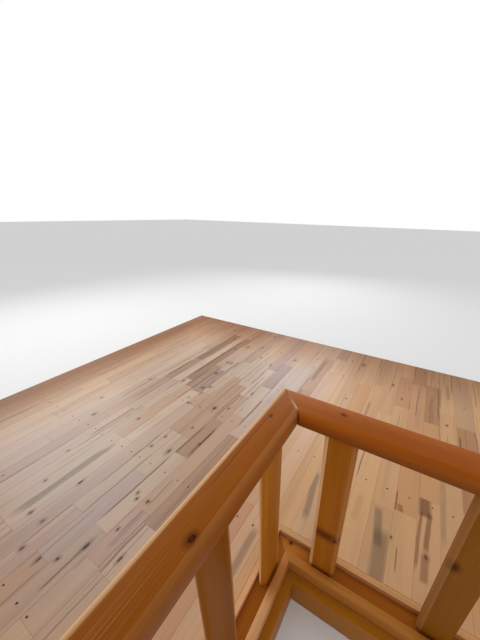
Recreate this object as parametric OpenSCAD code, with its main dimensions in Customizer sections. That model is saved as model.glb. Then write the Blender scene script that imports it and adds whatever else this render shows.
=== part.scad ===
/* [Deck] */
// Width of the deck across the house
deck_w = 2510; // [2300:10:2800]
// Length of the deck along the house
deck_l = 2970; // [2700:10:3600]
// Thickness of the floorboards
floor_t = 28; // [20:1:34]
// Depth of the joists, rims and trimmers
joist_h = 110; // [95:5:180]
// Thickness of one joist or rim
joist_t = 45; // [38:1:60]
// Thickness of the doubled trimmers at the stair opening
trimmer_t = 90; // [84:1:110]
// Distance from the floor's corner to the middle of the next joist towards the gable
far_first = 350; // [250:10:400]
// Distance from the floor's corner to the middle of the next joist beside the opening
near_first = 530; // [400:10:560]

/* [Stair opening] */
// Clear width of the stair opening, from nosing to house wall
well_w = 746; // [690:2:860]
// Clear length of the stair opening, from nosing to the cut edge
well_l = 1424; // [1300:2:1700]

/* [Edge strips] */
// Width of the nosing strip round the opening
nosing_w = 24; // [20:1:30]
// Height of the nosing strip
nosing_h = 40; // [34:1:60]
// Radius of the worn arris on the nosing
nosing_r = 5; // [2:0.5:8]
// Width of the sole strip that the balusters stand on
sole_w = 45; // [38:1:56]
// Thickness of the sole strip
sole_t = 10; // [8:1:12]
// Width of the lipping strip between sole and floorboards
lip_w = 18; // [12:1:24]
// Distance the fascia stands out in front of the nosing
fascia_out = 26; // [10:1:30]

/* [Guard rail] */
// Height of the handrail's top above the floor
rail_h = 575; // [500:5:700]
// Width of the handrail
rail_w = 76; // [66:1:90]
// Thickness of the handrail
rail_t = 45; // [40:1:60]
// Radius of the handrail's rounded arrises
rail_r = 11; // [8:0.5:14]

/* [Balusters] */
// Width of a baluster along the run
baluster_w = 80; // [70:1:90]
// Thickness of a baluster across the run
baluster_t = 28; // [24:1:38]
// Radius of a baluster's rounded arrises
baluster_r = 11; // [8:0.5:12]
// Distance from the floor's corner to the first baluster of the long run
long_first = 78; // [60:1:110]
// Distance from the last baluster of the long run to the cut edge
long_last = 53; // [30:1:80]
// Distance from the floor's corner to the first baluster of the cross run
cross_first = 121; // [110:1:150]
// Width of the tenon on each end of a baluster
tenon_w = 44; // [30:1:50]
// Thickness of the tenon on each end of a baluster
tenon_t = 12; // [8:1:16]
// Length of the tenon in the handrail
tenon_l = 20; // [12:1:30]
// Clearance on each side of a tenon
tenon_gap = 0.2; // [0.1:0.05:0.5]

/* [Hidden] */
deck_t = joist_h + floor_t;
right_x = deck_w / 2;
left_x = -deck_w / 2;
far_y = deck_l / 2;
near_y = -deck_l / 2;
well_x = right_x - well_w;
well_y = near_y + well_l;
face_x = well_x + fascia_out;
face_y = well_y - fascia_out;
trim_x = well_x - nosing_w;
trim_y = well_y + nosing_w;
corner_x = trim_x - sole_w;
corner_y = trim_y + sole_w;
board_x = corner_x - lip_w;
board_y = corner_y + lip_w;
trim_back_x = trim_x - trimmer_t;
trim_back_y = trim_y + trimmer_t;
axis_x = corner_x + sole_w / 2;
axis_y = corner_y - sole_w / 2;
sole_z = joist_h + sole_t;
rail_top = deck_t + rail_h;
rail_under = rail_top - rail_t;
mortise_l = tenon_l + tenon_gap;
long_bays = 6;
cross_bays = 2;
far_bays = 3;
near_bays = 2;
far_pitch = (far_y - joist_t / 2 - corner_y - far_first) / far_bays;
near_pitch = (corner_y - near_first - near_y - joist_t / 2) / near_bays;
long_pitch = (corner_y - near_y - long_first - long_last - baluster_w) / long_bays;
cross_pitch = (right_x - corner_x - cross_first - baluster_w) / cross_bays;
reach = deck_w + deck_l;

// Box from its two corners
module span(a, b) {
  translate(a)
    cube([b[0] - a[0], b[1] - a[1], b[2] - a[2]]);
}

// Rectangle centred on the origin with true round corners
module round_rect(w, h, r) {
  union() {
    square([w - 2 * r, h], center = true);
    square([w, h - 2 * r], center = true);
    for (sx = [-1, 1]) {
      for (sy = [-1, 1]) {
        translate([sx * (w / 2 - r), sy * (h / 2 - r)])
          circle(r = r, $fn = 48);
      }
    }
  }
}

// Everything on the long run's side of the diagonal through a corner point
module long_side(px, py) {
  translate([px, py, -1])
    linear_extrude(height = rail_top + 2)
      polygon([[0, 0], [reach, -reach], [-reach, -reach], [-reach, reach]]);
}

// Everything on the cross run's side of the same diagonal
module cross_side(px, py) {
  translate([px, py, -1])
    linear_extrude(height = rail_top + 2)
      polygon([[0, 0], [-reach, reach], [reach, reach], [reach, -reach]]);
}

// Solid of a section run along the long side, up to past the corner
module run_long(past) {
  translate([0, past, 0])
    rotate([90, 0, 0])
      linear_extrude(height = past - near_y)
        children();
}

// Solid of a section run along the cross side, from before the corner
module run_cross(before) {
  translate([before, 0, 0])
    rotate([90, 0, 90])
      linear_extrude(height = right_x - before)
        children();
}

// Handrail
module rail_section() {
  round_rect(rail_w, rail_t, rail_r);
}

module mortise(x, y, along_y) {
  lx = along_y ? tenon_t : tenon_w;
  ly = along_y ? tenon_w : tenon_t;
  translate([x, y, 0])
    linear_extrude(height = rail_under + mortise_l)
      square([lx + 2 * tenon_gap, ly + 2 * tenon_gap], center = true);
}

function long_y(i) = corner_y - long_first - baluster_w / 2 - i * long_pitch;
function cross_x(i) = corner_x + cross_first + baluster_w / 2 + i * cross_pitch;

module long_mortises() {
  for (i = [0:long_bays])
    mortise(axis_x, long_y(i), true);
}

module cross_mortises() {
  for (i = [0:cross_bays])
    mortise(cross_x(i), axis_y, false);
}

module handrail_long() {
  color("peru")
    difference() {
      intersection() {
        run_long(axis_y + rail_w)
          translate([axis_x, rail_top - rail_t / 2])
            rail_section();
        long_side(axis_x, axis_y);
      }
      long_mortises();
    }
}

module handrail_cross() {
  color("peru")
    difference() {
      intersection() {
        run_cross(axis_x - rail_w)
          translate([axis_y, rail_top - rail_t / 2])
            rail_section();
        cross_side(axis_x, axis_y);
      }
      cross_mortises();
    }
}

// Balusters
module baluster() {
  translate([0, 0, sole_z])
    linear_extrude(height = rail_under - sole_z)
      round_rect(baluster_w, baluster_t, baluster_r);
  translate([-tenon_w / 2, -tenon_t / 2, joist_h])
    cube([tenon_w, tenon_t, rail_under + tenon_l - joist_h]);
}

module baluster_long(i) {
  color("sienna")
    translate([axis_x, long_y(i), 0])
      rotate([0, 0, 90])
        baluster();
}

module baluster_cross(i) {
  color("sienna")
    translate([cross_x(i), axis_y, 0])
      baluster();
}

// Sole strips, mitred, with a through mortise for each baluster
module sole_long() {
  color("saddlebrown")
    difference() {
      intersection() {
        span([corner_x, near_y, joist_h], [trim_x, corner_y, sole_z]);
        long_side(axis_x, axis_y);
      }
      long_mortises();
    }
}

module sole_cross() {
  color("saddlebrown")
    difference() {
      intersection() {
        span([corner_x, trim_y, joist_h], [right_x, corner_y, sole_z]);
        cross_side(axis_x, axis_y);
      }
      cross_mortises();
    }
}

// Nosing, its upper arris worn round on both sides
module nosing_section() {
  union() {
    square([nosing_w, nosing_h - nosing_r]);
    translate([nosing_r, 0])
      square([nosing_w - 2 * nosing_r, nosing_h]);
    translate([nosing_r, nosing_h - nosing_r])
      circle(r = nosing_r, $fn = 48);
    translate([nosing_w - nosing_r, nosing_h - nosing_r])
      circle(r = nosing_r, $fn = 48);
  }
}

module nosing_long() {
  color("tan")
    intersection() {
      run_long(trim_y)
        translate([trim_x, deck_t - nosing_h])
          nosing_section();
      long_side(trim_x, trim_y);
    }
}

module nosing_cross() {
  color("tan")
    intersection() {
      run_cross(trim_x)
        translate([well_y, deck_t - nosing_h])
          nosing_section();
      cross_side(trim_x, trim_y);
    }
}

// Lipping between the sole and the floorboards
module lipping_long() {
  color("burlywood")
    intersection() {
      span([board_x, near_y, joist_h], [corner_x, board_y, deck_t]);
      long_side(corner_x, corner_y);
    }
}

module lipping_cross() {
  color("burlywood")
    intersection() {
      span([board_x, corner_y, joist_h], [right_x, board_y, deck_t]);
      cross_side(corner_x, corner_y);
    }
}

// Fascia timbers under the nosing, standing out beyond it, mitred at the corner
module fascia_long() {
  color("chocolate")
    intersection() {
      span([trim_x, near_y, 0], [face_x, trim_y, deck_t - nosing_h]);
      long_side(trim_x, trim_y);
    }
}

module fascia_cross() {
  color("chocolate")
    intersection() {
      span([trim_x, face_y, 0], [right_x, trim_y, deck_t - nosing_h]);
      cross_side(trim_x, trim_y);
    }
}

// Floorboards as two panels
module floor_far() {
  color("wheat")
    span([left_x, board_y, joist_h], [right_x, far_y, deck_t]);
}

module floor_near() {
  color("wheat")
    span([left_x, near_y, joist_h], [board_x, board_y, deck_t]);
}

// Frame under the floorboards
module trimmer_long() {
  color("darkkhaki")
    span([trim_back_x, near_y + joist_t, 0], [trim_x, trim_y, joist_h]);
}

module trimmer_cross() {
  color("darkkhaki")
    span([left_x + joist_t, trim_y, 0], [right_x - joist_t, trim_back_y, joist_h]);
}

module rim_left() {
  color("khaki")
    span([left_x, near_y, 0], [left_x + joist_t, far_y, joist_h]);
}

module rim_right() {
  color("khaki")
    span([right_x - joist_t, trim_y, 0], [right_x, far_y, joist_h]);
}

module rim_far() {
  color("khaki")
    span([left_x + joist_t, far_y - joist_t, 0], [right_x - joist_t, far_y, joist_h]);
}

module rim_near() {
  color("khaki")
    span([left_x + joist_t, near_y, 0], [trim_x, near_y + joist_t, joist_h]);
}

module joist_far(i) {
  y = corner_y + far_first + (i - 1) * far_pitch - joist_t / 2;
  color("khaki")
    span([left_x + joist_t, y, 0], [right_x - joist_t, y + joist_t, joist_h]);
}

module joist_near(i) {
  y = corner_y - near_first - (i - 1) * near_pitch - joist_t / 2;
  color("khaki")
    span([left_x + joist_t, y, 0], [trim_back_x, y + joist_t, joist_h]);
}

handrail_long();
handrail_cross();
baluster_long(0);  // baluster_long_1
baluster_long(1);  // baluster_long_2
baluster_long(2);  // baluster_long_3
baluster_long(3);  // baluster_long_4
baluster_long(4);  // baluster_long_5
baluster_long(5);  // baluster_long_6
baluster_long(6);  // baluster_long_7
baluster_cross(0);  // baluster_cross_1
baluster_cross(1);  // baluster_cross_2
baluster_cross(2);  // baluster_cross_3
sole_long();
sole_cross();
nosing_long();
nosing_cross();
lipping_long();
lipping_cross();
fascia_long();
fascia_cross();
floor_far();
floor_near();
trimmer_long();
trimmer_cross();
rim_left();
rim_right();
rim_far();
rim_near();
joist_far(1);  // joist_far_1
joist_far(2);  // joist_far_2
joist_far(3);  // joist_far_3
joist_near(1);  // joist_near_1
joist_near(2);  // joist_near_2
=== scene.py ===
import math

import bpy
import numpy as np
from mathutils import Matrix, Vector


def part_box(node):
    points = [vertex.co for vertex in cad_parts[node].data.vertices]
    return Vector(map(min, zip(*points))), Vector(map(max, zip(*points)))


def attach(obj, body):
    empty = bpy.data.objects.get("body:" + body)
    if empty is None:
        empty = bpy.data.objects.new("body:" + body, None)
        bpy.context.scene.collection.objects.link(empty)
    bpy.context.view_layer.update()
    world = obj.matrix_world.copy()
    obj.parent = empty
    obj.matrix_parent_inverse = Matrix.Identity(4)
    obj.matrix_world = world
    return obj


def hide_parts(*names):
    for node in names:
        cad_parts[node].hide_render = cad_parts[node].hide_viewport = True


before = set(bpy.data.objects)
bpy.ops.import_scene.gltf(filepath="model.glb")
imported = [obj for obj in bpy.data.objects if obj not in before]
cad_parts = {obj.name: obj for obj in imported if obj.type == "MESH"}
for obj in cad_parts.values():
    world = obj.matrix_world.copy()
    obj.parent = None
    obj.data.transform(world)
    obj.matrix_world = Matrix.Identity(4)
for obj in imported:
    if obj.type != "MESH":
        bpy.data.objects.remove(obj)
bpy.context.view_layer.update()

# Sizes repeated from part.scad, in metres
size = dict(
    cornerX=0.440, cornerY=0.008, floorZ=0.138, floorThick=0.028,
    nearY=-1.485, farY=1.485, boardX=0.422, boardY=0.026,
    soleTop=0.120, tenonWide=0.044, tenonThick=0.012,
)


# From 0 at start to 1 at end: clip((value - start) / (end - start), 0, 1)
def ramp(value, start, end):
    return np.clip((value - start) / (end - start), 0, 1)


# Camera at a point given from the opening's corner. Forward = (-sin yaw cos pitch, cos yaw cos pitch,
# -sin pitch), right and down turned round it by the roll: right cos roll + down sin roll.
def makeCamera():
    view = dict(
        lens=15.446, sensor=36.0, shiftX=-0.05066, shiftY=0.02268, nearest=0.01,
        yaw=28.52, pitch=23.959, roll=-1.259,
        fromCorner=(0.24755, -0.53925, 0.99715),
    )
    yaw, pitch, roll = (math.radians(view[k]) for k in ("yaw", "pitch", "roll"))
    level = math.cos(pitch)
    forward = Vector((-math.sin(yaw) * level, math.cos(yaw) * level, -math.sin(pitch)))
    right = Vector((math.cos(yaw), math.sin(yaw), 0.0))
    down = forward.cross(right)
    turnedRight = right * math.cos(roll) + down * math.sin(roll)
    turnedDown = down * math.cos(roll) - right * math.sin(roll)
    data = bpy.data.cameras.new("camera")
    data.lens = view["lens"]
    data.sensor_width = view["sensor"]
    data.shift_x = view["shiftX"]
    data.shift_y = view["shiftY"]
    data.clip_start = view["nearest"]
    camera = bpy.data.objects.new("camera", data)
    bpy.context.scene.collection.objects.link(camera)
    turn = Matrix((turnedRight, -turnedDown, -forward)).transposed()
    camera.matrix_world = turn.to_4x4()
    dx, dy, dz = view["fromCorner"]
    camera.location = (size["cornerX"] + dx, size["cornerY"] + dy, size["floorZ"] + dz)
    bpy.context.scene.camera = camera


# A shader node. An input that is a socket is linked, anything else becomes the input's own value.
def add(tree, kind, inputs=None, **settings):
    node = tree.nodes.new("ShaderNode" + kind)
    for key, value in settings.items():
        setattr(node, key, value)
    for key, value in (inputs or {}).items():
        if isinstance(value, bpy.types.NodeSocket):
            tree.links.new(value, node.inputs[key])
        else:
            node.inputs[key].default_value = value
    return node


# Short calls for the nodes of one material
class Graph:
    def __init__(self, name):
        self.material = bpy.data.materials.new(name)
        self.material.use_nodes = True
        self.tree = self.material.node_tree
        self.shader = self.tree.nodes["Principled BSDF"]

    def give(self, socket, value):
        if isinstance(value, bpy.types.NodeSocket):
            self.tree.links.new(value, self.shader.inputs[socket])
        else:
            self.shader.inputs[socket].default_value = value

    def trait(self, name):
        return add(self.tree, "Attribute", attribute_name=name).outputs["Vector"]

    def calc(self, operation, a, b=0.0, clamp=False):
        return add(self.tree, "Math", {0: a, 1: b}, operation=operation, use_clamp=clamp).outputs[0]

    def plus(self, a, b):
        return self.calc("ADD", a, b)

    def minus(self, a, b):
        return self.calc("SUBTRACT", a, b)

    def times(self, a, b, clamp=False):
        return self.calc("MULTIPLY", a, b, clamp)

    def vector(self, operation, a, b=(0, 0, 0)):
        node = add(self.tree, "VectorMath", {0: a, 1: b}, operation=operation)
        return node.outputs["Value" if operation == "LENGTH" else "Vector"]

    def split(self, value):
        return add(self.tree, "SeparateXYZ", {0: value}).outputs[:3]

    def join(self, x, y, z):
        return add(self.tree, "CombineXYZ", {0: x, 1: y, 2: z}).outputs[0]

    # 0 below a, 1 above b, with a smooth slope between
    def step(self, value, a, b):
        inputs = {"Value": value, "From Min": a, "From Max": b}
        return add(self.tree, "MapRange", inputs, interpolation_type="SMOOTHSTEP").outputs[0]

    def noise(self, at, scale=1.0, detail=2.0, rough=0.5, out="Factor"):
        inputs = {"Vector": at, "Scale": scale, "Detail": detail, "Roughness": rough}
        return add(self.tree, "TexNoise", inputs).outputs[0 if out == "Factor" else 1]

    def mix(self, amount, a, b, blend="MIX"):
        inputs = {0: amount, 6: a, 7: b}
        return add(self.tree, "Mix", inputs, data_type="RGBA", blend_type=blend).outputs[2]


def rgb(colour):
    return (*colour, 1.0)


streakNames = ("A", "B", "C", "D")

# Noise scales along and across the grain, per metre
grainScale = dict(
    sway=(1.5, 9, 9), ragged=(60, 160, 160), uneven=(1.5, 25, 25), fibre=(16, 420, 420), broad=(1.3, 20, 20),
    slow=(3.0, 8, 8), pale=(2.0, 520, 520), thin=(2.6, 110, 110), wander=(7, 1, 1), cracked=(170, 330, 330),
)
# Where each share of the finish starts and where it is full
grainSlope = dict(
    lateRise=(0.25, 0.85), lateFall=(0.9, 1.0), deep=(0.45, 0.75), cracked=(0.40, 0.60),
    pale=(0.56, 0.66), palePlace=(0.42, 0.62), thin=(0.60, 0.72), thinPlace=(0.46, 0.66),
    streakSide=(0.4, 1.2), halo=(0.8, 2.8), core=(0.65, 1.05),
)


# The parts of one wood's pattern. s runs along the timber, u across it, both in metres.
class WoodGraph(Graph):
    def __init__(self, name, look):
        super().__init__(name)
        self.look = look
        place = self.trait("place")
        self.along, self.across = self.split(place)[:2]
        self.inLog = self.vector("ADD", place, self.trait("pith"))

    def grainNoise(self, kind, detail=2, rough=0.5, out="Factor"):
        stretched = self.vector("MULTIPLY", self.inLog, grainScale[kind])
        return self.noise(stretched, detail=detail, rough=rough, out=out)

    def share(self, value, kind):
        return self.step(value, *grainSlope[kind])

    # Distance from a knot in knot radii: sqrt((ds / (long r))^2 + (du / (wide r))^2)
    def knotDistance(self, label, long, wide):
        knotAlong, knotAcross, radius = self.split(self.trait(label))
        ds = self.calc("DIVIDE", self.minus(self.along, knotAlong), self.times(radius, long))
        du = self.calc("DIVIDE", self.minus(self.across, knotAcross), self.times(radius, wide))
        return self.vector("LENGTH", self.join(ds, du, 0.0))

    # Late wood of the rings: fract(radius / ring gap + unevenness), rising slowly and falling fast. The radius
    # runs from the pith line, waved by a slow noise and pushed aside at a knot by exp(-fall * knot distance).
    def lateWood(self, knot):
        look = self.look
        sway = self.vector("SUBTRACT", self.grainNoise("sway", out="Color"), (0.5, 0.5, 0.5))
        sway = self.vector("MULTIPLY", sway, (0, look["sway"], look["sway"]))
        bent = self.vector("MULTIPLY", self.vector("ADD", self.inLog, sway), (0, 1, 1))
        push = self.calc("EXPONENT", self.times(knot, -look["pushFall"]))
        radius = self.plus(self.vector("LENGTH", bent), self.times(push, look["knotPush"]))
        uneven = self.times(self.grainNoise("uneven"), look["uneven"])
        ring = self.calc("FRACT", self.plus(self.calc("DIVIDE", radius, look["ringGap"]), uneven))
        return self.times(self.share(ring, "lateRise"), self.minus(1.0, self.share(ring, "lateFall")))

    # Stain streak: 1 - share(|u - u0 - slope (s - s0) + wander| / half width + swing) from s0 to s1, its ends
    # faded. It is brown where its strength is above 0 and grey below. Gives its share and its stain.
    def streak(self, label, wander, swing, fibre):
        look = self.look
        s0, s1, u0 = self.split(self.trait(f"streakAt{label}"))
        half, strength, slope = self.split(self.trait(f"streakLook{label}"))
        middle = self.plus(u0, self.times(self.minus(self.along, s0), slope))
        off = self.calc("ABSOLUTE", self.plus(self.minus(self.across, middle), wander))
        off = self.plus(self.calc("DIVIDE", off, half), swing)
        fade = self.times(self.minus(s1, s0), look["streakFade"])
        started = self.step(self.along, s0, self.plus(s0, fade))
        ended = self.step(self.along, self.minus(s1, fade), s1)
        inside = self.times(started, self.minus(1.0, ended))
        share = self.times(self.minus(1.0, self.share(off, "streakSide")), inside)
        share = self.times(share, self.calc("ABSOLUTE", strength))
        fibrous = self.plus(look["streakLeast"], self.times(fibre, look["streakFibre"]))
        stain = self.mix(self.calc("LESS_THAN", strength, 0.0), rgb(look["brownStain"]), rgb(look["greyStain"]))
        return self.times(share, fibrous, clamp=True), stain


# Solid wood: early wood, late wood by its share, then deep patches, fibre, lines, streaks, knots, the timber's
# own shade with the painted light and shade in it, painted shade, painted arris highlights (partly wear) and
# end grain, each laid over the one before
def woodMaterial(name, look):
    g = WoodGraph(name, look)
    longA, wideA, longB = g.split(g.trait("knotForm"))
    coreA, coreB, calm = g.split(g.trait("knotCore"))
    ragged = g.times(g.minus(g.grainNoise("ragged"), 0.5), look["ragged"])
    firstKnot = g.plus(g.knotDistance("knotA", longA, wideA), ragged)
    otherKnot = g.plus(g.knotDistance("knotB", longB, 1.0), ragged)
    knot = g.calc("MINIMUM", firstKnot, otherKnot)
    lively = g.minus(1.0, calm)  # a calm timber has fainter rings, pale lines and thin lines
    late = g.times(g.lateWood(knot), lively)
    fibre = g.grainNoise("fibre", detail=3, rough=0.6)
    broad = g.grainNoise("broad")
    slow = g.grainNoise("slow", detail=1)
    swing = g.minus(broad, 0.5)

    ringAmount = g.times(look["ringStrength"], g.plus(slow, look["ringLeast"]))
    colour = g.mix(g.times(late, ringAmount, clamp=True), rgb(look["early"]), rgb(look["late"]))
    colour = g.mix(g.times(g.share(broad, "deep"), look["deepStrength"]), colour, rgb(look["deep"]))
    fine = g.plus(1.0, g.times(g.minus(fibre, 0.5), look["fibre"]))
    colour = g.mix(1.0, colour, g.join(fine, fine, fine), "MULTIPLY")

    # fine pale lines, then thin dark ones, along the grain
    pale = g.share(g.grainNoise("pale", detail=1), "pale")
    pale = g.times(pale, g.times(g.share(slow, "palePlace"), look["paleLines"]))
    colour = g.mix(g.times(pale, lively), colour, rgb(look["pale"]))
    thin = g.share(g.grainNoise("thin"), "thin")
    thin = g.times(thin, g.times(g.share(slow, "thinPlace"), look["thinLines"]))
    colour = g.mix(g.times(thin, lively), colour, g.mix(1.0, colour, rgb(look["lineStain"]), "MULTIPLY"))

    wander = g.times(g.minus(g.grainNoise("wander", detail=1), 0.5), look["wander"])
    for label in streakNames[:look["streaks"]]:
        amount, stain = g.streak(label, wander, swing, fibre)
        colour = g.mix(amount, colour, g.mix(1.0, colour, stain, "MULTIPLY"))

    halo = g.minus(1.0, g.share(knot, "halo"))
    colour = g.mix(g.times(halo, look["haloStrength"]), colour, rgb(look["halo"]))
    firstCore = g.times(g.minus(1.0, g.share(firstKnot, "core")), coreA)
    otherCore = g.times(g.minus(1.0, g.share(otherKnot, "core")), coreB)
    core = g.calc("MAXIMUM", firstCore, otherCore)
    cracked = g.mix(g.share(g.grainNoise("cracked"), "cracked"), rgb(look["knot"]), rgb(look["knotPale"]))
    colour = g.mix(g.times(core, look["knotCover"]), colour, cracked)

    # this shade holds each timber's tone and the painted light and shade given to it: the floor's painted wall
    # shade and sheen, and the balusters' painted light and shade
    colour = g.mix(1.0, colour, g.trait("shade"), "MULTIPLY")
    endGrain, arris, fade = g.split(g.trait("surface"))
    # darker by painted shade: towards the long rail's near end and on the cross rail's lower side
    colour = g.mix(fade, colour, rgb((0.0, 0.0, 0.0)))
    patchy = g.plus(look["patchMiddle"], g.times(swing, look["patchSwing"]))
    # painted highlight along the arrises, partly wear, patchy along the grain
    colour = g.mix(g.times(arris, patchy, clamp=True), colour, rgb(look["arris"]))
    colour = g.mix(g.times(endGrain, look["endStrength"]), colour, rgb(look["endColour"]))

    g.give("Base Color", colour)
    g.give("Roughness", g.plus(look["rough"], g.times(fibre, look["roughFibre"])))
    g.give("Specular IOR Level", g.times(g.minus(1.0, g.times(core, look["knotDull"])), look["specular"]))
    g.give("Specular Tint", rgb(look["tint"]))
    g.give("Coat Weight", look["coat"])
    g.give("Coat Roughness", look["coatRough"])
    height = g.plus(fibre, g.times(late, look["bumpRings"]))
    bump = add(g.tree, "Bump", {"Strength": look["bump"], "Distance": look["bumpDeep"], "Height": height})
    g.give("Normal", bump.outputs[0])
    return g.material


baseWood = dict(
    early=(0.30, 0.10, 0.024), late=(0.20, 0.058, 0.008), deep=(0.22, 0.060, 0.009), pale=(0.55, 0.27, 0.11),
    ringGap=0.0075, uneven=2.4, ringStrength=0.35, ringLeast=0.4, deepStrength=0.6, fibre=0.3, sway=0.014,
    paleLines=0.2, thinLines=0.35, lineStain=(0.66, 0.52, 0.42),
    streaks=1, brownStain=(0.45, 0.36, 0.30), greyStain=(0.50, 0.52, 0.52),
    wander=0.002, streakFade=0.18, streakLeast=0.7, streakFibre=0.6,
    knot=(0.020, 0.005, 0.002), knotPale=(0.085, 0.016, 0.004), halo=(0.13, 0.026, 0.004), haloStrength=0.8,
    knotPush=0.008, pushFall=0.8, ragged=1.1, knotCover=0.95, knotDull=0.8,
    # arris: colour of the pale highlight painted on the arrises, partly their wear
    arris=(0.85, 0.54, 0.28), patchMiddle=0.7, patchSwing=1.6, endColour=(0.90, 0.66, 0.42), endStrength=0.5,
    rough=0.36, roughFibre=0.12, specular=0.20, tint=(1.0, 0.55, 0.12), coat=0.0, coatRough=0.25,
    bump=0.2, bumpRings=0.6, bumpDeep=0.0004,
)


# The base wood with some of its numbers changed
def vary(**changes):
    return dict(baseWood, **changes)


woods = dict(
    rail=woodMaterial("handrailPine", vary(
        early=(0.31, 0.080, 0.006), late=(0.24, 0.050, 0.002), deep=(0.22, 0.045, 0.002), paleLines=0.4,
        ringGap=0.0055, ringStrength=0.4, thinLines=0.55, endStrength=1.0)),
    baluster=woodMaterial("balusterPine", vary(
        early=(0.33, 0.110, 0.009), late=(0.27, 0.082, 0.005), deep=(0.25, 0.072, 0.003), ringGap=0.014,
        uneven=3.0, ringStrength=0.3, fibre=0.16, paleLines=0.08, thinLines=0.2, endStrength=0.1,
        specular=0.08)),
    sole=woodMaterial("solePine", vary(
        early=(0.32, 0.090, 0.009), late=(0.24, 0.060, 0.004), deep=(0.22, 0.052, 0.004), paleLines=0.0)),
    nosing=woodMaterial("nosingPine", vary(
        early=(0.46, 0.18, 0.040), late=(0.36, 0.13, 0.018), deep=(0.34, 0.115, 0.014),
        pale=(0.6, 0.34, 0.16))),
    lipping=woodMaterial("lippingPine", vary(
        early=(0.45, 0.23, 0.085), late=(0.37, 0.165, 0.05), deep=(0.37, 0.15, 0.04), pale=(0.6, 0.36, 0.2))),
    fascia=woodMaterial("fasciaPine", vary(
        early=(0.37, 0.130, 0.008), late=(0.29, 0.092, 0.004), deep=(0.28, 0.082, 0.003))),
    floor=woodMaterial("floorPine", vary(
        early=(0.560, 0.305, 0.140), late=(0.480, 0.245, 0.104), deep=(0.405, 0.222, 0.110),
        pale=(0.62, 0.40, 0.23), ringGap=0.02, ringStrength=0.18, uneven=3.5, deepStrength=0.5, fibre=0.12,
        paleLines=0.15, thinLines=0.45, streaks=4, brownStain=(0.42, 0.30, 0.19), wander=0.012,
        knot=(0.030, 0.011, 0.005), knotPale=(0.10, 0.045, 0.02), halo=(0.26, 0.12, 0.055), haloStrength=0.6,
        knotPush=0.012, endColour=(0.50, 0.32, 0.18),
        rough=0.42, specular=0.3, tint=(1, 1, 1), coat=0.25, coatRough=0.24)),
    frame=woodMaterial("frameTimber", vary(
        early=(0.50, 0.32, 0.14), late=(0.40, 0.22, 0.075), deep=(0.40, 0.22, 0.08), pale=(0.6, 0.42, 0.22),
        ringStrength=0.5, rough=0.6)),
)
print("woods made")


# Points beside a rounded corner: at most this far from its arc, this share of the flat, and this share of its
# wear
besideCorner = dict(step=0.003, share=0.2, wear=0.15)


# Rectangle wide by high with a corner of its own radius at each corner, going round from the low corner:
# centre + r (cos a, sin a), with a point just before and after each corner so that the flats stay flat.
# Gives points, outward directions, corner numbers, how much each point wears and how far round its arc it is.
def outline(wide, high, radii, steps):
    points, outward, corner, wearing, turned = [], [], [], [], []
    for k, (cu, cv) in enumerate(((0, 0), (1, 0), (1, 1), (0, 1))):
        r = radii[k]
        centre = np.array([r + cu * (wide - 2 * r), r + cv * (high - 2 * r)])
        angle = math.pi * (1 + k / 2) + np.linspace(0, math.pi / 2, steps + 1)
        way = np.stack([np.cos(angle), np.sin(angle)], 1)
        arc = centre + r * way
        tangent = np.stack([-np.sin(angle), np.cos(angle)], 1)
        step = min(besideCorner["step"], besideCorner["share"] * (min(wide, high) - 2 * r))
        points += [arc[:1] - tangent[:1] * step, arc, arc[-1:] + tangent[-1:] * step]
        outward += [way[:1], way, way[-1:]]
        corner += [k] * (steps + 3)
        wearing += [besideCorner["wear"]] + [1.0] * (steps + 1) + [besideCorner["wear"]]
        turned += [0] + list(np.arange(steps + 1) / steps) + [0 if k == 3 else 1]
    points, outward = np.concatenate(points), np.concatenate(outward)
    return points, outward, np.array(corner), np.array(wearing), np.array(turned)


# Wear of the four arrises along the run: depth * (weighted sum of sin(2 pi s / length + phase) over four
# lengths + 1) / 2
def arrisWear(run, corner, depth, rng):
    lengths = np.array([0.83, 0.37, 0.17, 0.071])
    weights = np.array([0.3, 0.3, 0.25, 0.15])
    phases = rng.uniform(0, 2 * math.pi, (4, 4))
    waves = np.sin(2 * math.pi * run[..., None] / lengths + phases[corner]) * weights
    return depth * (waves.sum(-1) + 1) / 2


# Faces of a skin of m rows of n points, closed by a cap at each end
def skinFaces(m, n, flip):
    i, j = np.meshgrid(np.arange(m - 1), np.arange(n), indexing="ij")
    k = (j + 1) % n
    quads = np.stack([i * n + j, i * n + k, (i + 1) * n + k, (i + 1) * n + j], -1).reshape(-1, 4)
    caps = [list(range(n - 1, -1, -1)), list(range((m - 1) * n, m * n))]
    faces = quads.tolist() + caps
    return [face[::-1] for face in faces] if flip else faces


# What a timber is made with where its piece says nothing else. start and end give a0, b0 and a1, b1 of the
# formula below, arris how strongly each corner is painted pale as a highlight, partly wear, fade where painted
# shade starts, is full, and how dark, lowSideShade how dark the painted shade on the lower side is.
plainTimber = dict(
    radii=(0.0015,) * 4, steps=4, ease=0.0006, every=0.03, wear=0.0006, start=(0, 0), end=(0, 0), tenon=None,
    arris=(0,) * 4, leastTurned=0.35, besideHighlight=None, fade=(0.0, 1.0, 0.0), lowSideShade=0.0, bareFrom=None,
    tenonRadius=0.001, traits={}, shadeRuns=(),
)
# Bare wood in an open mitre: shares of the width over which it starts and stops, and of the depth above which
# it shows
bareCut = dict(start=(0.4, 0.55), stop=(0.9, 0.82), above=0.7)


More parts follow.
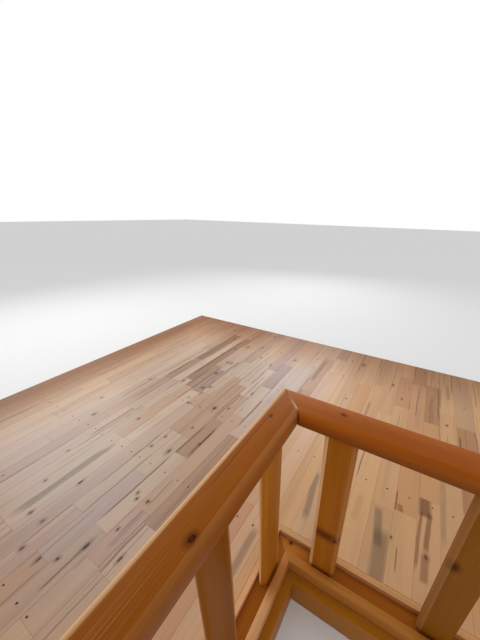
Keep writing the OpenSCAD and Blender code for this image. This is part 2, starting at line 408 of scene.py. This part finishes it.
# One timber: its outline carried along the run. Point = origin + s along + u across + v up,
# s between start(u) = a0 + b0 u and end(u) = length + a1 + b1 u, so a mitre is b = -1 or 1.
def timber(box, along, across, up, rng, **changes):
    spec = dict(plainTimber, **changes)
    low, high = np.array(box[0]), np.array(box[1])
    axes = np.array([along, across, up], float)
    length, wide, deep = np.abs(axes @ (high - low))
    origin = np.where(axes.sum(0) > 0, low, high)
    points, outward, corner, wearing, turned = outline(wide, deep, spec["radii"], spec["steps"])
    ease = spec["ease"]
    middle = np.array([wide / 2, deep / 2])
    t = np.arange(0, length, spec["every"])[1:-1]
    t = np.concatenate([[2 * ease], t, [length - 2 * ease]])
    full = np.repeat(points[None], len(t) + 2, 0)
    eased = middle + (points - middle) * (1 - 2 * ease / np.array([wide, deep]))
    shape = np.concatenate([eased[None], full, eased[None]])
    fraction = np.concatenate([[0], [ease / length], t / length, [1 - ease / length], [1]])
    tenon = spec["tenon"]
    if tenon:
        first, last = tenon["from"], length - tenon["to"]
        fraction = (first + fraction * (last - first)) / length
        small = outline(tenon["wide"], tenon["thick"], (spec["tenonRadius"],) * 4, spec["steps"])[0]
        small = small + middle - np.array([tenon["wide"], tenon["thick"]]) / 2
        shape = np.concatenate([small[None], small[None], shape, small[None], small[None]])
        fraction = np.concatenate([[0], [first / length], fraction, [last / length], [1]])
    (a0, b0), (a1, b1) = spec["start"], spec["end"]
    s0 = a0 + b0 * shape[..., 0]
    s1 = length + a1 + b1 * shape[..., 0]
    s = s0 + fraction[:, None] * (s1 - s0)
    worn = arrisWear(s, corner[None].repeat(len(s), 0), spec["wear"], rng) * wearing
    if tenon:
        worn[:2] = worn[-2:] = 0
    shape = shape - outward * worn[..., None]
    local = np.stack([s, shape[..., 0], shape[..., 1]], -1).reshape(-1, 3)
    flip = np.linalg.det(axes[[1, 2, 0]]) < 0
    surface = timberSurface(spec, s, shape, wide, deep, corner, wearing, turned)
    given = traits(rng, spec["traits"], wide, deep)
    for run in spec["shadeRuns"]:
        given["shade"] = shadeRun(given["shade"], local[:, 0], *run)
    faces = skinFaces(*s.shape, flip)
    return dict(local=local, world=origin + local @ axes, faces=faces, surface=surface, **given)


# End grain, painted arris highlight (partly wear) and painted shade at each point. Shade = by * ramp of s, plus
# lowSideShade on the lower corners, and a cut end's bare share is a ramp up where the bare part starts times
# one down where it stops.
def timberSurface(spec, s, shape, wide, deep, corner, wearing, turned):
    cutEnd = np.zeros(s.shape)
    cutEnd[[0, -1]] = 1
    if spec["bareFrom"]:
        share = shape[..., 0] / wide
        inner = share if spec["bareFrom"] == "low" else 1 - share
        bare = ramp(inner, *bareCut["start"]) * ramp(inner, *bareCut["stop"])
        cutEnd[[1, -2]] = 1
        cutEnd = cutEnd * bare * (shape[..., 1] > bareCut["above"] * deep)
    arris = np.array(spec["arris"])[corner] * (wearing == 1)
    if spec["besideHighlight"] is not None:
        beside = (wearing < 1) & (turned < 0.5) & (corner == 3)
        least = spec["leastTurned"]
        arris = arris * (least + (1 - least) * turned) + spec["besideHighlight"] * beside
    shadeFrom, shadeTo, shadeBy = spec["fade"]
    fade = ramp(s, shadeFrom, shadeTo) * shadeBy + spec["lowSideShade"] * (corner < 2)
    return np.stack([cutEnd, np.broadcast_to(arris, s.shape), fade], -1).reshape(-1, 3)


# Ranges of the random numbers: pith along, across and below a timber, its tone and how green the tone is
grown = dict(
    pithAlong=(0, 9), pithAcross=(-0.6, 1.6), pithBelow=(-0.02, 0.05), tone=(0.93, 1.05), green=(0.98, 1.02),
)


# The wood's own numbers for one timber: where the pith runs, two knots, the streaks and the tone. A knot is
# s, u and radius, and one that isn't wanted lies far off the timber.
def traits(rng, given, wide, deep):
    chosen = dict(
        pith=(rng.uniform(*grown["pithAlong"]), -wide * rng.uniform(*grown["pithAcross"]),
              -deep - rng.uniform(*grown["pithBelow"])),
        knotA=(-5, -5, 0.01), knotB=(-5, -5, 0.01), knotForm=(1.3, 1.0, 1.3), knotCore=(1, 1, 0),
        **{f"streakAt{label}": (-9, -8, 0) for label in streakNames},
        **{f"streakLook{label}": (0.01, 0, 0) for label in streakNames},
    )
    tone = rng.uniform(*grown["tone"])
    chosen["shade"] = (tone, tone * rng.uniform(*grown["green"]), tone)
    chosen.update(given)
    return chosen


# Shade along a run: shade * (1 + (colour - 1) ramp), the ramp going from 0 at s = start to 1 at s = end
def shadeRun(shade, s, start, end, colour):
    return np.array(shade) * (1 + ramp(s, start, end)[:, None] * (np.array(colour) - 1))


traitNames = ["pith", "knotA", "knotB", "knotForm", "knotCore", "shade"]
traitNames += [f"streak{part}{label}" for part in ("At", "Look") for label in streakNames]


# Keeps one vector for each point of the mesh
def keepVectors(mesh, name, values):
    layer = mesh.attributes.new(name, "FLOAT_VECTOR", "POINT")
    layer.data.foreach_set("vector", np.asarray(values).reshape(-1).astype(np.float32))


sharpFrom = math.radians(38)


# Puts timbers together as one mesh object, faces renumbered by the points before them, with the wood's
# numbers kept for each point
def makePiece(name, timbers, wood, slot, *replaced):
    points = np.concatenate([t["world"] for t in timbers])
    starts = np.cumsum([0] + [len(t["world"]) for t in timbers])
    faces = [[v + start for v in face] for t, start in zip(timbers, starts) for face in t["faces"]]
    mesh = bpy.data.meshes.new(name)
    mesh.from_pydata(points.tolist(), [], faces)
    keepVectors(mesh, "place", np.concatenate([t["local"] for t in timbers]))
    for trait in traitNames:
        values = [np.broadcast_to(np.array(t[trait], float), t["world"].shape) for t in timbers]
        keepVectors(mesh, trait, np.concatenate(values))
    keepVectors(mesh, "surface", np.concatenate([t["surface"] for t in timbers]))
    mesh.polygons.foreach_set("use_smooth", np.ones(len(mesh.polygons), bool))
    mesh.set_sharp_from_angle(angle=sharpFrom)
    mesh.materials.append(woods[wood])
    piece = bpy.data.objects.new(name, mesh)
    bpy.context.scene.collection.objects.link(piece)
    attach(piece, "root")
    if replaced:
        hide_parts(*replaced)
    return piece


alongX, alongY, alongZ = (1, 0, 0), (0, 1, 0), (0, 0, 1)
makeCamera()
print("camera made")


# Marks are in metres from the near end and the left or near side. The long rail's far arris has a painted pale
# highlight, partly wear, the wood darkens towards the near end as painted shade, and the cross rail's lower
# side is darker by painted shade.
rails = dict(
    mitreOpen=0.0027,
    spec=dict(radii=(0.010, 0.010, 0.011, 0.011), wear=0.0009, every=0.012, ease=0.0011, steps=6),
    long=dict(
        arris=(0, 0, 0.12, 1.5), besideHighlight=0.03, fade=(1.35, 0.80, 0.36), bareFrom="low",
        traits=dict(knotA=(1.109, 0.0556, 0.0055), knotB=(1.389, 0.027, 0.003), knotCore=(1, 0.6, 0),
                    pith=(1.3, 0.04, -0.01), streakAtA=(1.16, 1.42, 0.024), streakLookA=(0.0010, 1.0, 0))),
    cross=dict(
        lowSideShade=0.34, bareFrom="high",
        traits=dict(knotA=(0.171, 0.044, 0.004), knotCore=(0.7, 1, 0.7), pith=(4.1, -0.035, 0.13),
                    shade=(1.20, 1.16, 1.4))),
)


# Mitre: the long rail ends at length - u, the cross rail starts at wide - u, both opened towards the inside
def makeRails():
    rng = np.random.default_rng(11)
    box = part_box("handrail_long")
    wide = box[1][0] - box[0][0]
    lean = 1 + rails["mitreOpen"] / wide
    longRail = timber(box, alongY, alongX, alongZ, rng, end=(0, -lean), **rails["spec"], **rails["long"])
    makePiece("railLong", [longRail], "rail", "rail_pine", "handrail_long")
    crossRail = timber(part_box("handrail_cross"), alongX, alongY, alongZ, rng, start=(wide * lean, -lean),
                       **rails["spec"], **rails["cross"])
    makePiece("railCross", [crossRail], "rail", "rail_pine", "handrail_cross")


makeRails()
print("handrails made")


balusters = dict(
    counts=dict(long=7, cross=3), tenonUp=0.020,
    spec=dict(radii=(0.011,) * 4, wear=0.0008, steps=6, every=0.02),
    # each baluster's shade makes it brighter or darker: partly its own tone, partly painted light and shade
    marks=dict(
        cross_1=dict(knotA=(0.188, 0.036, 0.006), knotB=(0.183, 0.066, 0.006), knotForm=(1.9, 4.5, 1.0),
                     knotCore=(0.45, 0.9, 0), shade=(1.30, 1.28, 1.15)),
        cross_2=dict(knotA=(0.319, 0.0145, 0.0075), knotCore=(0.6, 1, 0), shade=(0.80, 0.82, 0.7)),
        cross_3=dict(shade=(0.80, 0.80, 0.7)), long_1=dict(shade=(1.38, 1.40, 1.1)),
        long_2=dict(shade=(0.80, 0.72, 0.4)),
    ),
    # how strongly each arris is painted pale as a highlight, partly wear, going round from the low corner
    arris=dict(
        cross_1=(1.5, 0.1, 0, 0.4), cross_2=(0.2, 0, 0, 0.2), cross_3=(0.1, 0, 0, 0),
        long_1=(0.8, 0, 0.6, 0),
    ),
    otherArrisHighlight=(0.25, 0, 0.3, 0),
)


# Each baluster is a timber run upwards, with a tenon from its box's foot to the sole's top and one of tenonUp
# above
def makeBalusters():
    rng = np.random.default_rng(23)
    for run, count in balusters["counts"].items():
        across, up = (alongY, alongX) if run == "long" else (alongX, alongY)
        for i in range(1, count + 1):
            node = f"baluster_{run}_{i}"
            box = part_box(node)
            tenon = dict(wide=size["tenonWide"], thick=size["tenonThick"], to=balusters["tenonUp"])
            tenon["from"] = size["soleTop"] - box[0][2]
            made = timber(box, alongZ, across, up, rng, tenon=tenon, **balusters["spec"],
                          traits=balusters["marks"].get(f"{run}_{i}", {}),
                          arris=balusters["arris"].get(f"{run}_{i}", balusters["otherArrisHighlight"]))
            makePiece(f"baluster{run.capitalize()}{i}", [made], "baluster", "baluster_pine", node)


makeBalusters()
print("balusters made")


# Radii go round from the low corner of the long strip. The cross strip faces the other way, so its upper two
# swap.
edges = dict(
    sole=dict(radii=(0.0005,) * 4, wear=0.0004),
    nosing=dict(radii=(0.0008, 0.0008, 0.005, 0.004), wear=0.0006),
    # the lipping's lower arrises are painted pale, which puts painted light on its shaded front face
    lipping=dict(radii=(0.0006,) * 4, wear=0.0005, arris=(0.5, 0.5, 0, 0)),
    fascia=dict(radii=(0.001, 0.001, 0.0025, 0.001), wear=0.0006),
)
edgeEvery = 0.02
edgeMarks = dict(
    sole_long=dict(shade=(1.08, 1.1, 1.1)),
    sole_cross=dict(knotA=(0.0485, 0.0353, 0.0045), knotForm=(1.2, 1.0, 1.0)),
    nosing_long=dict(shade=(1.06, 1.06, 1.3)), nosing_cross=dict(shade=(0.92, 0.90, 0.8)),
    lipping_long=dict(shade=(1.68, 1.75, 2.4)), lipping_cross=dict(shade=(1.22, 1.20, 1.35)),
    fascia_cross=dict(knotA=(0.012, 0.004, 0.003)),
)
# paler lengths of the same strips: where the change starts, where it is full, colour
edgeRuns = dict(
    nosing_long=((1.335, 1.295, (1.40, 1.80, 2.9)),),
    sole_cross=((0.125, 0.075, (1.45, 1.9, 3.2)),),
    lipping_cross=((0.14, 0.11, (1.0, 1.1, 1.25)),),
)


# Four strips a side, mitred: the long ones end at length - u, the cross ones start at wide - u
def makeEdges():
    rng = np.random.default_rng(37)
    for kind, look in edges.items():
        for run in ("long", "cross"):
            node = f"{kind}_{run}"
            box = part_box(node)
            spec = dict(look, every=edgeEvery, shadeRuns=edgeRuns.get(node, ()), traits=edgeMarks.get(node, {}))
            if run == "long":
                made = timber(box, alongY, alongX, alongZ, rng, end=(0, -1), **spec)
            else:
                wide = box[1][1] - box[0][1]
                first, second, third, fourth = look["radii"]
                spec["radii"] = (first, second, fourth, third)
                made = timber(box, alongX, alongY, alongZ, rng, start=(wide, -1), **spec)
            makePiece(f"{kind}{run.capitalize()}", [made], kind, f"{kind}_pine", node)


makeEdges()
print("opening's edge made")


beams = dict(
    spec=dict(wear=0.001, every=0.06),
    alongHouse=("trimmer_long", "rim_left", "rim_right"),
    acrossHouse=("trimmer_cross", "rim_far", "rim_near", "joist_far_1", "joist_far_2", "joist_far_3",
                 "joist_near_1", "joist_near_2"),
)


# Every beam is a plain timber that fills its solid's box
def makeFrame():
    rng = np.random.default_rng(53)
    for node in beams["alongHouse"] + beams["acrossHouse"]:
        run, across = (alongY, alongX) if node in beams["alongHouse"] else (alongX, alongY)
        made = timber(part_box(node), run, across, alongZ, rng, **beams["spec"])
        wood = "fascia" if node.startswith("trimmer") else "frame"
        makePiece(node.replace("_", ""), [made], wood, "frame_timber", node)


makeFrame()
print("frame made")


# Places across and along the floor in mm from the opening's corner. The joints are those that the photo shows.
floor = dict(
    joints=(
        -1695, -1621, -1547, -1473, -1399, -1325, -1250.5, -1176.4, -1102, -1039, -975, -913, -848, -778, -706,
        -640, -568, -497, -422, -346.5, -271, -195.5, -120, -46, 32, 107, 182, 258, 336, 413, 488, 563, 647,
        731, 815,
    ),
    edge=0.15, arris=0.5, tongue=4.5, tongueLow=10, tongueHigh=16, groove=5.2, slack=0.3,
    endGap=0.1, endEase=0.4, every=0.08, lengths=(350, 1150), firstCut=120, leastLength=160, sliver=5,
    # floor tints: a paler, greyer left middle that is partly bleaching and partly painted sheen; painted shade
    # along the walls; darker at the near end; a pale spot that is partly painted sheen
    bleachAndSheen=(0.93, 1.21, 1.92), wallShade=(0.52, 0.36, 0.20), nearSide=(0.80, 0.83, 0.95),
    paleSpotAndSheen=(1.22, 1.36, 1.70),
    tones=dict(
        tan=(1.0, 1.0, 1.0), light=(1.06, 1.08, 1.04), brown=(0.77, 0.66, 0.57), pink=(0.93, 0.85, 0.86),
        grey=(0.90, 0.94, 1.02), purple=(0.74, 0.67, 0.70), warm=(0.97, 0.88, 0.78),
        rose=(1.10, 1.16, 1.35), umber=(0.62, 0.48, 0.38), amber=(0.94, 0.82, 0.71),
    ),
    # how often a board that isn't listed has each tone, and how far the tones spread
    often=dict(tan=0.5, light=0.18, brown=0.02, pink=0.12, grey=0.03, purple=0.02, warm=0.13),
    spread=(0.94, 1.05),
    # joint at the board's left edge, from, to, tone
    boards=(
        (-120, -420, 720, "rose"), (-46, -30, 620, "light"), (32, -30, 540, "rose"), (107, -30, 700, "rose"),
        (182, -30, 820, "light"), (258, -30, 262, "tan"), (258, 262, 930, "light"), (336, -30, 275, "light"),
        (336, 275, 790, "warm"), (413, -30, 375, "tan"), (413, 375, 860, "warm"), (336, 790, 1220, "pink"),
        (413, 860, 1250, "brown"), (488, -30, 610, "tan"), (563, 385, 900, "brown"), (-1102, 475, 760, "brown"),
        (-1102, 760, 1250, "umber"), (-975, 530, 1230, "umber"), (-848, 450, 720, "purple"),
        (-848, -450, 0, "light"), (-913, -450, 0, "light"), (-640, -440, -90, "grey"),
        (-706, 150, 700, "amber"), (-640, 150, 640, "amber"), (-568, 60, 320, "brown"),
        (-568, -300, 60, "light"), (-497, -370, -190, "pink"), (-497, -190, 400, "warm"),
        (-422, -215, 270, "brown"), (-271, 800, 1250, "brown"), (-497, 700, 1010, "purple"),
        (-195.5, 1290, 1500, "brown"), (-568, 320, 560, "amber"), (-568, 560, 900, "light"),
        (-778, -520, 340, "tan"), (-706, -300, 150, "light"), (-706, -650, -300, "tan"),
        (-975, -500, 200, "light"), (-1039, -500, 160, "tan"), (-1102, -500, 60, "pink"),
        (-1039, 480, 760, "light"), (-778, 470, 900, "tan"), (-913, 470, 760, "brown"),
    ),
    calmFrom=-46, calm=0.75,  # listed boards right of this joint are smooth
    # random knots: chance, ranges of place across, radius and how long each of the two is
    randomKnot=dict(chance=0.6, across=(0.01, 0.065), radius=(0.002, 0.0055),
                    long=(1.2, 2.6), otherLong=(1.1, 1.8)),
    fromEnds=(0.05, 0.03), core=(0.6, 1),
    # random stains: slot, chance, place across, half width, strength
    stains=(("A", 0.35, 0.5, (0.004, 0.014), (0.15, 0.5)), ("B", 0.65, 0.04, (0.002, 0.006), (0.4, 1.0)),
            ("C", 0.6, 0.95, (0.002, 0.006), (0.4, 1.0)), ("D", 0.8, 0.4, (0.0008, 0.0028), (0.6, 1.0))),
    stainLong=(0.12, 0.55), stainAside=0.1, stainSlope=0.02, stainStart=(-0.1, 0.8),
    # streaks: from, to, middle across, half width, strength (grey below 0), slope
    streaks=(
        (100, 264, 304, 16, -0.85, -0.13), (-40, 190, 314, 25, -0.85, -0.03), (245, 372, 343, 3.5, 0.9, -0.05),
        (60, 150, 362, 2.5, 0.9, -0.03), (272, 308, 362, 12, 0.7, -0.3), (290, 392, 436, 24, 1.0, 0.0),
        (90, 335, 415, 6.5, 0.75, 0.045), (160, 335, 443, 9, 0.85, 0.06), (70, 165, 441, 12, 0.7, 0.0),
        (200, 620, 497, 9, -0.5, 0.0), (60, 300, 60, 15, -0.9, -0.12), (-260, -20, -70, 15, -0.8, 0.0),
        (150, 280, 215, 16, 0.2, 0.0), (400, 700, 78, 5, -0.5, 0.0), (900, 1250, -248, 14, 0.7, 0.0),
        (150, 235, -502, 3, 0.9, 0.0), (-500, -330, -520, 5, 0.8, 0.0), (700, 900, 130, 10, -0.6, 0.0),
        (-450, -20, -838, 13, -1.0, 0.0), (-450, -60, -854, 8, -0.9, 0.0), (-300, 55, -564, 4, 1.0, 0.0),
        (65, 280, -501, 4, 1.0, 0.0), (540, 1220, -966, 12, 0.6, 0.0), (480, 750, -1096, 6, 0.9, 0.0),
        (-100, 350, -991, 7, 0.8, 0.0), (-60, 280, -560, 4, 0.9, 0.0), (620, 900, -790, 5, 1.0, 0.0),
        (300, 800, -416, 6, 0.8, 0.0),
    ),
    # knots: across, along, radius
    knots=(
        (-610, 385, 9), (-770, 345, 7), (-607, 212, 5), (-675, 103, 5), (-592, 48, 6), (-685, 30, 5),
        (-500, 150, 6), (-670, -158, 6), (-537, -152, 5), (-520, -170, 5), (-475, -158, 5), (-548, -253, 5),
        (-480, -273, 4), (-690, -287, 5), (-520, -356, 6), (-775, -235, 8), (-730, -385, 6), (338, 165, 4),
        (445, 157, 7), (5, 1300, 8), (225, 1140, 6), (-1125, 25, 8), (-895, 120, 6), (-1230, 130, 6),
        (-1150, 400, 5), (-830, 832, 8), (-690, 1015, 5), (-572, 960, 6), (-450, 1110, 8), (-500, 605, 7),
        (-765, 530, 7), (-960, 500, 8), (-835, 672, 8), (-870, 1110, 8), (-800, 500, 8), (-690, -460, 6),
        (-610, -450, 5), (-800, -390, 6), (-900, -300, 5), (-560, -420, 5),
    ),
)


# Board section in mm: a tongue on one side, a groove on the other, the top arrises taken off
def boardSection(wide, tongue, groove):
    e, c, h = floor["edge"], floor["arris"], size["floorThick"] * 1000
    low, high, slack = floor["tongueLow"], floor["tongueHigh"], floor["slack"]
    right = wide - e
    section = [(e, 0), (right, 0)]
    if tongue:
        tip = right + floor["tongue"]
        section += [(right, low), (tip, low), (tip, high), (right, high)]
    section += [(right, h - c), (right - c, h), (e + c, h), (e, h - c)]
    if groove:
        back = e + floor["groove"]
        section += [(e, high + slack), (back, high + slack), (back, low - slack), (e, low - slack)]
    return np.array(section) / 1000


# Tint of the floor at each point: paler and greyer in the middle of the left side, partly bleaching and partly
# painted window sheen; browner and darker along the two walls as painted wall shade; darker at the near end,
# each share a product of ramps; and palest round one place by exp(-(dx / 330)^2 - (dy / 360)^2), partly painted
# sheen
def floorTintWithPaintedLight(points):
    x = (points[:, 0] - size["cornerX"]) * 1000
    y = (points[:, 1] - size["cornerY"]) * 1000
    farWallShade = ramp(y, 1060, 1430) * (0.8 + 0.2 * ramp(x, -300, -1000))
    shares = dict(
        bleachAndSheen=ramp(x, -90, -420) * ramp(x, -1620, -1180) * ramp(y, -780, -250) * ramp(y, 1300, 950),
        wallShade=np.maximum(ramp(x, -1400, -1600), farWallShade),
        nearSide=ramp(y, 100, -450) * ramp(x, -200, -600),
        paleSpotAndSheen=np.exp(-((x + 170) / 330) ** 2 - ((y - 730) / 360) ** 2),
    )
    tint = np.ones((len(points), 3))
    for name, share in shares.items():
        tint *= 1 + share[:, None] * (np.array(floor[name]) - 1)
    return tint


# One board: its section carried along the run in rows, point = (x0 + u, y0 + s, underside + v), with the top
# edge eased at both ends
def board(x0, x1, y0, y1, rng, given, tongue=True, groove=True):
    section = boardSection((x1 - x0) * 1000, tongue, groove)
    gap, ease, long = floor["endGap"] / 1000, floor["endEase"] / 1000, y1 - y0
    ends = section.copy()
    ends[:, 1] = np.minimum(ends[:, 1], size["floorThick"] - ease)
    rows = np.linspace(gap + ease, long - gap - ease, max(2, int(long / floor["every"]) + 1))
    s = np.concatenate([[gap], rows, [long - gap]])
    shape = np.repeat(section[None], len(s), 0)
    shape[[0, -1]] = ends
    run = np.broadcast_to(s[:, None, None], (len(s), len(section), 1))
    local = np.concatenate([run, shape], -1).reshape(-1, 3)
    origin = np.array([x0, y0, size["floorZ"] - size["floorThick"]])
    world = origin + local @ np.array([alongY, alongX, alongZ], float)
    surface = np.zeros((len(s), len(section), 3))
    surface[[0, -1], :, 0] = 1
    # the tint puts painted wall shade and painted sheen into each board's colour
    given["shade"] = given["shade"] * floorTintWithPaintedLight(world)
    return dict(local=local, world=world, faces=skinFaces(len(s), len(section), True),
                surface=surface.reshape(-1, 3), **traits(rng, given, x1 - x0, size["floorThick"]))


# Cuts one column of boards from low to high: the listed boards, and random lengths between them
def columnRuns(low, high, listed, rng):
    least = floor["leastLength"]
    cuts, at = {low, high}, low + rng.uniform(floor["firstCut"], floor["lengths"][1])
    for a, b, tone in listed:
        cuts |= {min(max(a, low), high), min(max(b, low), high)}
    while at < high - least:
        near = min(abs(at - cut) for cut in cuts)
        if near > least and not any(a < at < b for a, b, tone in listed):
            cuts.add(at)
        at += rng.uniform(*floor["lengths"])
    cuts = sorted(cuts)
    return [(a, b) for a, b in zip(cuts, cuts[1:]) if b - a > floor["sliver"]]


# Tone, knots and stains of the board from a to b across and y0 to y1 along: what is listed for its place comes
# before what is drawn at random
def boardTraits(a, b, y0, y1, listed, rng):
    often = floor["often"]
    tone = rng.choice(list(often), p=np.array(list(often.values())) / sum(often.values()))
    named = [name for f0, f1, name in listed if f0 < (y0 + y1) / 2 < f1]
    if named:
        tone = named[-1]
    given = dict(shade=np.array(floor["tones"][tone]) * rng.uniform(*floor["spread"]))
    calm = a >= floor["calmFrom"] and bool(named)
    length, wide = (y1 - y0) / 1000, (b - a) / 1000
    knot = floor["randomKnot"]
    if rng.random() < knot["chance"] and not calm:
        given["knotForm"] = (rng.uniform(*knot["long"]), 1.0, rng.uniform(*knot["otherLong"]))
        first, last = floor["fromEnds"]
        place = rng.uniform(first, length - last)
        given["knotA"] = (place, rng.uniform(*knot["across"]), rng.uniform(*knot["radius"]))
    # a broad stain anywhere, a narrow one beside each joint, a thin dark one
    aside, slope, (early, late) = floor["stainAside"], floor["stainSlope"], floor["stainStart"]
    for label, chance, at, half, strength in floor["stains"]:
        start = rng.uniform(early, length * late)
        spot = (start, start + rng.uniform(*floor["stainLong"]), wide * at + rng.uniform(-aside, aside) * wide)
        look = (rng.uniform(*half), rng.uniform(*strength) * rng.choice([-1, 1]), rng.uniform(-slope, slope))
        if rng.random() < chance:
            given["streakAt" + label], given["streakLook" + label] = spot, look
    marks = [(y - y0, x - a, radius) for x, y, radius in floor["knots"] if a <= x < b and y0 <= y < y1]
    for label, mark in zip(("knotA", "knotB"), marks):
        given[label] = tuple(value / 1000 for value in mark)
    given["knotCore"] = (rng.uniform(*floor["core"]), rng.uniform(*floor["core"]), floor["calm"] if calm else 0)
    shown = [mark for mark in floor["streaks"] if a <= mark[2] < b and y0 <= (mark[0] + mark[1]) / 2 < y1]
    if shown:
        for label in streakNames:
            given.pop("streakAt" + label, None)
    for label, (s0, s1, u, half, strength, slope) in zip(streakNames, shown):
        given["streakAt" + label] = ((s0 - y0) / 1000, (s1 - y0) / 1000, (u - a) / 1000)
        given["streakLook" + label] = (half / 1000, strength, slope)
    return given


# Columns of boards between the joints, past the opening from the near end and in front of it from its far edge,
# all put together as one piece
def makeFloor():
    rng = np.random.default_rng(71)
    cx, cy = size["cornerX"] * 1000, size["cornerY"] * 1000
    near, far = size["nearY"] * 1000 - cy, size["farY"] * 1000 - cy
    edgeX, edgeY = size["boardX"] * 1000 - cx, size["boardY"] * 1000 - cy
    joints = floor["joints"]
    gaps = list(zip(joints, joints[1:]))
    columns = [(a, b, near) for a, b in gaps if b <= edgeX]
    columns += [(a, edgeX, near) for a, b in gaps if a < edgeX < b]
    columns += [(a, b, edgeY) for a, b in gaps if b > edgeX]
    made = []
    for a, b, low in columns:
        high = edgeY if b == edgeX else far
        listed = [(y0, y1, tone) for joint, y0, y1, tone in floor["boards"] if joint == a]
        for y0, y1 in columnRuns(low, high, listed, rng):
            given = boardTraits(a, b, y0, y1, listed, rng)
            x0, x1 = (cx + a) / 1000, (cx + b) / 1000
            made.append(board(x0, x1, (cy + y0) / 1000, (cy + y1) / 1000, rng, given,
                              tongue=b not in (joints[-1], edgeX), groove=a != joints[0]))
    makePiece("floorboards", made, "floor", "floor_pine", "floor_far", "floor_near")


makeFloor()
print("floorboards made")


# Rows along the floor and radii in mm. A level is a share of the radius and a height over the boards in mm.
nails = dict(
    rows=(1454.5, 1086.3, 718.2, 350, -38, -530, -1000.25, -1470.5),
    shown={350: (219, 301, 382, 461, 527), -38: (-800, -678, -608, -520, -447, -388), -530: (-622, -540, -483)},
    radius=3.3, faces=10, levels=((1.0, -0.5), (0.97, 0.0), (0.7, 0.12), (0.3, 0.16)),
    across=9, along=6, sizes=(0.85, 1.15), fromEdge=20,
    colours=((0.035, 0.022, 0.014), (0.012, 0.009, 0.007)), spots=300, rough=0.35, roughSpots=0.3, metal=0.6,
)


# One nail in each board at each row: where the photo shows it, and else near the board's middle
def nailPlaces(rng):
    cx, cy = size["cornerX"] * 1000, size["cornerY"] * 1000
    edgeX = size["boardX"] * 1000 - cx
    across, along = nails["across"], nails["along"]
    places = []
    for row in nails["rows"]:
        for a, b in zip(floor["joints"], floor["joints"][1:]):
            if row < 0 and b > edgeX - nails["fromEdge"]:
                continue
            seen = [x for x in nails["shown"].get(row, ()) if a <= x < b]
            x = seen[0] if seen else (a + b) / 2 + rng.uniform(-across, across)
            places.append((x + cx, row + cy + (0 if seen else rng.uniform(-along, along))))
    return np.array(places)


# Nail heads: low domes, each level a ring of centre + share * radius * (cos a, sin a) at its height
def makeNails():
    rng = np.random.default_rng(97)
    places = nailPlaces(rng)
    n, levels = nails["faces"], nails["levels"]
    angle = np.arange(n) * 2 * math.pi / n
    ring = np.stack([np.cos(angle), np.sin(angle)], 1)
    radius = nails["radius"] * rng.uniform(*nails["sizes"], len(places))
    points = [np.concatenate([places[:, None] + ring * share * radius[:, None, None],
                              np.full((len(places), n, 1), height)], -1) for share, height in levels]
    points = np.stack(points, 1).reshape(-1, 3) / 1000 + (0, 0, size["floorZ"])
    faces = []
    for start in range(0, len(points), n * len(levels)):
        faces += [[v + start for v in face] for face in skinFaces(len(levels), n, False)]
    mesh = bpy.data.meshes.new("nailHeads")
    mesh.from_pydata(points.tolist(), [], faces)
    mesh.polygons.foreach_set("use_smooth", np.ones(len(mesh.polygons), bool))
    g = Graph("nailSteel")
    spots = g.noise(add(g.tree, "TexCoord").outputs["Object"], scale=nails["spots"], detail=3)
    bright, dark = nails["colours"]
    g.give("Base Color", g.mix(spots, rgb(bright), rgb(dark)))
    g.give("Roughness", g.plus(nails["rough"], g.times(spots, nails["roughSpots"])))
    g.give("Metallic", nails["metal"])
    mesh.materials.append(g.material)
    piece = bpy.data.objects.new("nailHeads", mesh)
    bpy.context.scene.collection.objects.link(piece)
    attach(piece, "root")


makeNails()
print("nail heads made")


light = dict(
    worldStrength=0.76, aim=(0.1, 0.0, 0.3),
    lamps=dict(
        leftSoftbox=dict(at=(-3.3, 0.75, 2.4), size=(1.8, 1.2), power=34),
        farSoftbox=dict(at=(-1.1, 4.2, 2.2), size=(1.8, 1.0), power=24),
    ),
    groundColour=(0.82, 0.82, 0.82), groundRough=0.8, groundHalf=30,
)


# White surroundings as the camera sees them, softer as they light the deck
def makeWorld():
    world = bpy.data.worlds.new("world")
    bpy.context.scene.world = world
    world.use_nodes = True
    tree = world.node_tree
    seen = add(tree, "LightPath").outputs["Is Camera Ray"]
    strength = add(tree, "Mix", {0: seen, 2: light["worldStrength"], 3: 1.0}).outputs[0]
    back = tree.nodes["Background"]
    back.inputs["Color"].default_value = (1, 1, 1, 1)
    tree.links.new(strength, back.inputs["Strength"])


# Two softboxes turned towards the aim, their -z along aim - place
def makeLamps():
    for name, lamp in light["lamps"].items():
        data = bpy.data.lights.new(name, "AREA")
        data.shape = "RECTANGLE"
        data.size, data.size_y = lamp["size"]
        data.energy = lamp["power"]
        softbox = bpy.data.objects.new(name, data)
        bpy.context.scene.collection.objects.link(softbox)
        softbox.location = lamp["at"]
        towards = Vector(light["aim"]) - softbox.location
        softbox.rotation_euler = towards.to_track_quat("-Z", "Y").to_euler()


# Pale ground: one square of twice groundHalf
def makeGround():
    material = bpy.data.materials.new("paleFloor")
    material.use_nodes = True
    shader = material.node_tree.nodes["Principled BSDF"]
    shader.inputs["Base Color"].default_value = rgb(light["groundColour"])
    shader.inputs["Roughness"].default_value = light["groundRough"]
    mesh = bpy.data.meshes.new("ground")
    h = light["groundHalf"]
    mesh.from_pydata([(-h, -h, 0), (h, -h, 0), (h, h, 0), (-h, h, 0)], [], [(0, 1, 2, 3)])
    mesh.materials.append(material)
    ground = bpy.data.objects.new("ground", mesh)
    bpy.context.scene.collection.objects.link(ground)


bpy.context.scene.view_settings.view_transform = "Standard"
makeWorld()
makeLamps()
makeGround()
print("light made")
